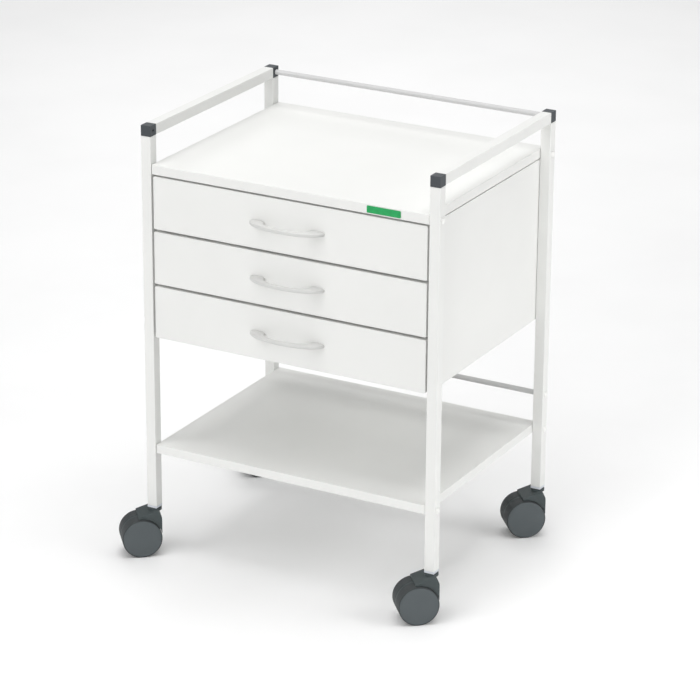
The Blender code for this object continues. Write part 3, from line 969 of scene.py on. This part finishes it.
def tread_mesh():
    """The soft ring, in a frame with c along the axle, outwards."""
    bore = DISC_RADIUS + TREAD_GAP
    inner, outer = WHEEL_RADIUS - TREAD_INNER_ROUND, WHEEL_RADIUS - TREAD_ROUND
    profile = [(bore, WHEEL_OUTER - TREAD_OUTER_LAP), (bore, WHEEL_INNER + TREAD_INNER_LAP)]
    profile += [(inner, WHEEL_INNER)]
    profile += arc((inner, WHEEL_INNER + TREAD_INNER_ROUND), TREAD_INNER_ROUND, -60, 0, 3)
    profile += arc((outer, WHEEL_OUTER - TREAD_SHOULDER - TREAD_ROUND), TREAD_ROUND, 0, 80, 5)
    return skin([circle(radius, along, WHEEL_SIDES) for radius, along in profile], loop=True)


def disc_mesh():
    """The plastic wheel body with its smooth outer face, a blind bore and a recessed inner face."""
    profile = [(0, BORE_END), (BORE_RADIUS, BORE_END)]
    profile += [(radius, WHEEL_INNER + height) for radius, height in DISC_BACK]
    centre = (DISC_RADIUS - DISC_ROUND, WHEEL_OUTER - DISC_DOME - DISC_ROUND)
    profile += arc(centre, DISC_ROUND, 0, 80, 5)
    for share in DISC_CROWN:
        profile.append((DISC_RADIUS * share, WHEEL_OUTER - DISC_DOME * share * share))
    profile.append((0, WHEEL_OUTER))
    return turned(profile, WHEEL_SIDES)


def castors():
    stem = Vector(JOINTS["swivel_front_left"]["pos_m"])
    axle = Vector(JOINTS["spin_outer_front_left"]["pos_m"])
    forward = Vector((axle.x - stem.x, axle.y - stem.y, 0))
    trail = forward.length
    turn = math.atan2(forward.y, forward.x)
    hood = hood_mesh(trail)
    tread = shaded(tread_mesh(), TREAD)
    disc = shaded(disc_mesh(), DISC_PLASTIC)
    profile = [(0, -AXLE_HALF), (AXLE_RADIUS - AXLE_CHAMFER, -AXLE_HALF)]
    profile += [(AXLE_RADIUS, AXLE_CHAMFER - AXLE_HALF)]
    profile += [(radius, -along) for radius, along in reversed(profile)]
    pin = shaded(turned(profile, AXLE_SIDES), STEM_STEEL)
    for corner in CORNERS:
        at = Vector(JOINTS[f"swivel_{corner}"]["pos_m"])
        at.z = 0
        place = Matrix.Translation(at) @ Matrix.Rotation(turn, 4, "Z")
        body = f"castor_{corner}"
        node = f"castor_hood_{corner}"
        piece(f"{node}_moulding", hood, None, body, [node], place)
        hub = place @ Matrix.Translation((trail, 0, WHEEL_RADIUS))
        node = f"castor_axle_{corner}"
        piece(f"{node}_pin", pin, None, body, [node], hub @ ACROSS)
        for name, side in (("outer", 1), ("inner", -1)):
            across = Matrix(((1, 0, 0, 0), (0, 0, side, 0), (0, -side, 0, 0), (0, 0, 0, 1)))
            drum = f"drum_{name}_{corner}"
            node = f"wheel_{name}_{corner}"
            piece(f"{node}_tread", tread, None, drum, [node], hub @ across)
            piece(f"{node}_disc", disc, None, drum, (), hub @ across)
        stem_plug(corner, at)


def stem_plug(corner, at):
    """The pale plug in the post's foot and the steel stem below it."""
    node = f"stem_plug_{corner}"
    low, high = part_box(node)
    post_low, post_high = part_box(f"post_{corner}")
    foot = post_low.z - PLUG_DROP
    flange_high = (post_high.x, post_high.y, foot + PLUG_FLANGE)
    flange = rounded_box((post_low.x, post_low.y, foot), flange_high, PLUG_EDGE)
    reach = SPIGOT_HALF
    plug_low = (at.x - reach, at.y - reach, foot + PLUG_FLANGE / 2)
    plug = rounded_box(plug_low, (at.x + reach, at.y + reach, high.z), PLUG_EDGE)
    obj = working_object(flange)
    cut(obj, plug, operation="UNION")
    mesh = finished_mesh(obj, PLUG_PLASTIC, SMOOTH_BENDS)
    piece(f"{node}_moulding", mesh, None, ROOT, [node])
    top = foot - STEM_GAP
    profile = [(0, low.z), (STEM_RADIUS - STEM_CHAMFER, low.z)]
    profile += [(STEM_RADIUS, low.z + STEM_CHAMFER)]
    profile += [(STEM_RADIUS - depth, low.z + height) for depth, height in STEM_GROOVE]
    profile += [(STEM_RADIUS, top), (0, top)]
    pin = turned(profile, STEM_SIDES, Matrix.Translation((at.x, at.y, 0)))
    piece(f"castor_stem_{corner}", pin, STEM_STEEL, ROOT, ())


# ---------------------------------------------------------------- studio


def camera():
    data = bpy.data.cameras.new("photo_view")
    data.sensor_width = VIEW_SENSOR
    data.lens = VIEW_LENS
    data.clip_end = VIEW_CLIP_END
    obj = in_scene("photo_view", data)
    middle = middle_of("top_panel")
    target = Vector((middle.x + VIEW_TARGET_X, middle.y, VIEW_TARGET_Z))
    flat = math.cos(VIEW_ELEVATION)
    across, along = math.sin(VIEW_AZIMUTH) * flat, math.cos(VIEW_AZIMUTH) * flat
    back = Vector((across, -along, math.sin(VIEW_ELEVATION)))
    obj.location = target + back * VIEW_DISTANCE
    look = (-back).to_track_quat("-Z", "Y").to_matrix().to_4x4()
    turn = look @ Matrix.Rotation(VIEW_ROLL, 4, "Z")
    obj.rotation_euler = turn.to_euler()
    bpy.context.scene.camera = obj


def area_light(name, location, target, size, watts):
    data = bpy.data.lights.new(name, "AREA")
    data.shape = "SQUARE"
    data.size = size
    data.energy = watts
    obj = in_scene(name, data)
    obj.location = location
    obj.visible_camera = False
    obj.rotation_euler = (Vector(target) - Vector(location)).to_track_quat("-Z", "Y").to_euler()


def studio():
    floor = bmesh.new()
    bmesh.ops.create_grid(floor, x_segments=1, y_segments=1, size=FLOOR_SIZE)
    mesh = mesh_of(floor, "studio_floor")
    mesh.materials.append(floor_paint())
    obj = in_scene("studio_floor", mesh)
    world = bpy.data.worlds.new("studio_world")
    world.use_nodes = True
    shader = world.node_tree.nodes["Background"]
    shader.inputs["Color"].default_value = (1, 1, 1, 1)
    shader.inputs["Strength"].default_value = WORLD_STRENGTH
    bpy.context.scene.world = world
    bpy.context.scene.view_settings.view_transform = "Standard"
    for name, (location, target, size, watts) in LIGHTS.items():
        area_light(name, location, target, size, watts)


def frame_pieces():
    for corner, (side, end) in CORNERS.items():
        square_tube(f"post_{corner}", "z")
        connector(corner, side, end)
    for side in SIDES:
        square_tube(f"side_rail_{side}", "y")
    rods()
    screw_caps()


camera()
studio()
frame_pieces()
boards()
label_plate()
drawers()
castors()
